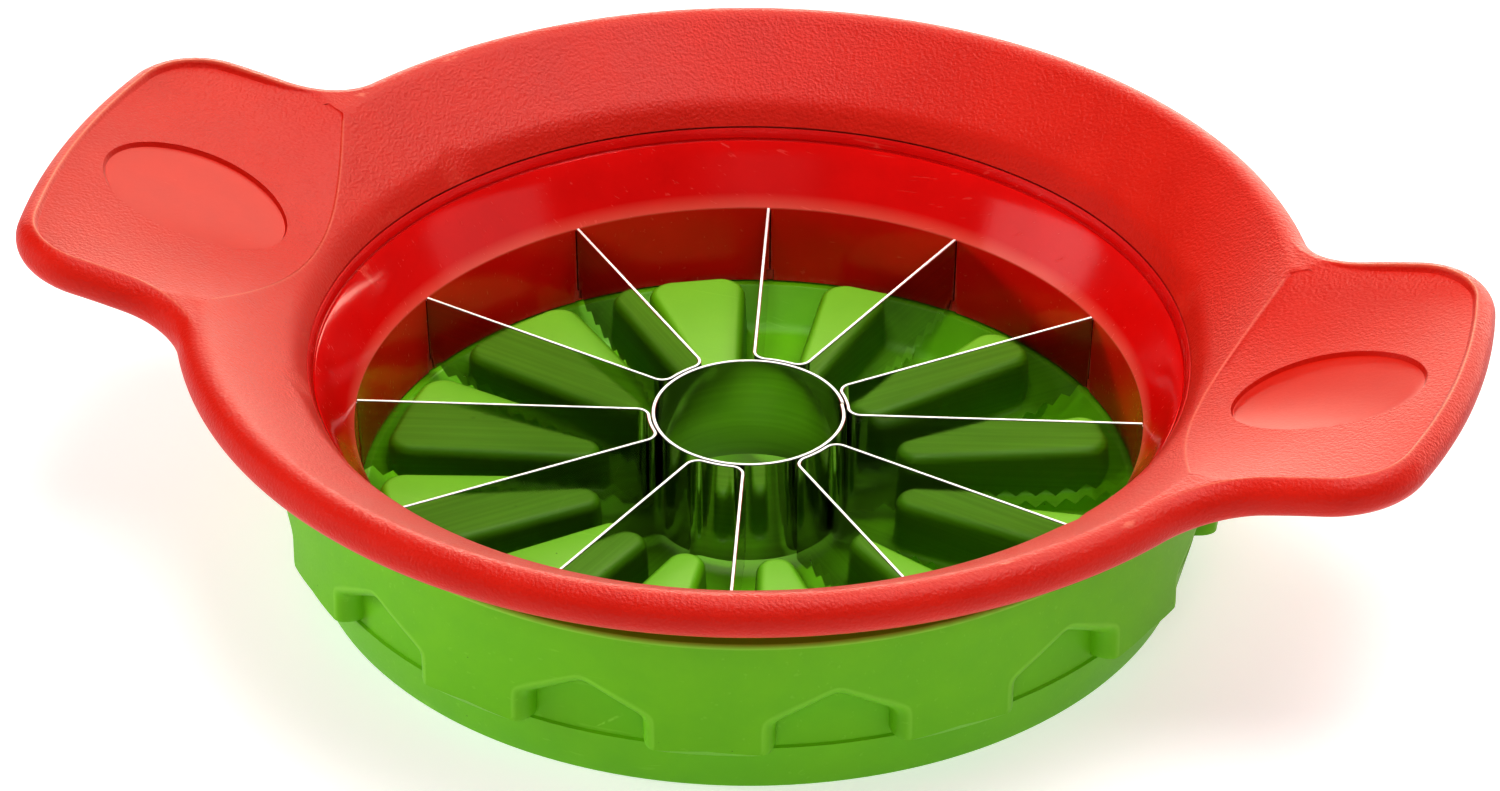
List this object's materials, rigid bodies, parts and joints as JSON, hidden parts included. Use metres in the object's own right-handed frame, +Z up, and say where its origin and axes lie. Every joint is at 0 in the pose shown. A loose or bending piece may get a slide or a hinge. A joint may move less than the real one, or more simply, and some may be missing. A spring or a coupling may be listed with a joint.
{
  "type": "apple slicer",
  "caption": "Round press-down fruit slicer: funnel bowl with two scooped handles, serrated radial blades round a core ring, and a lift-off base cup with wedge-shaped lugs.",
  "frame": {"origin": "centre of the base cup's underside, on the table", "axes": "+Z up along the cutting axis; X through the two handles"},
  "size_m": [0.1956, 0.1512, 0.0438],
  "materials": {
    "red_textured": "moulded, spark-eroded matte texture",
    "red_gloss": "moulded, polished",
    "green_plastic": "moulded, fine satin",
    "blade_steel": "rolled stainless strip, near mirror"
  },
  "bodies": {
    "base": {"base_cup": "green_plastic"},
    "slicer": {"handle_frame": "red_textured", "blade_carrier": "red_gloss", "clamp_ring": "red_gloss", "core_ring": "blade_steel", "blade_strip_1": "blade_steel", "blade_strip_2": "blade_steel", "blade_strip_3": "blade_steel", "blade_strip_4": "blade_steel", "blade_strip_5": "blade_steel", "blade_strip_6": "blade_steel"}
  },
  "joints": [
    {"name": "frame_lift", "type": "slide", "parent": "base", "child": "slicer", "axis": [0, 0, 1], "range_m": [0, 0.06]}
  ]
}
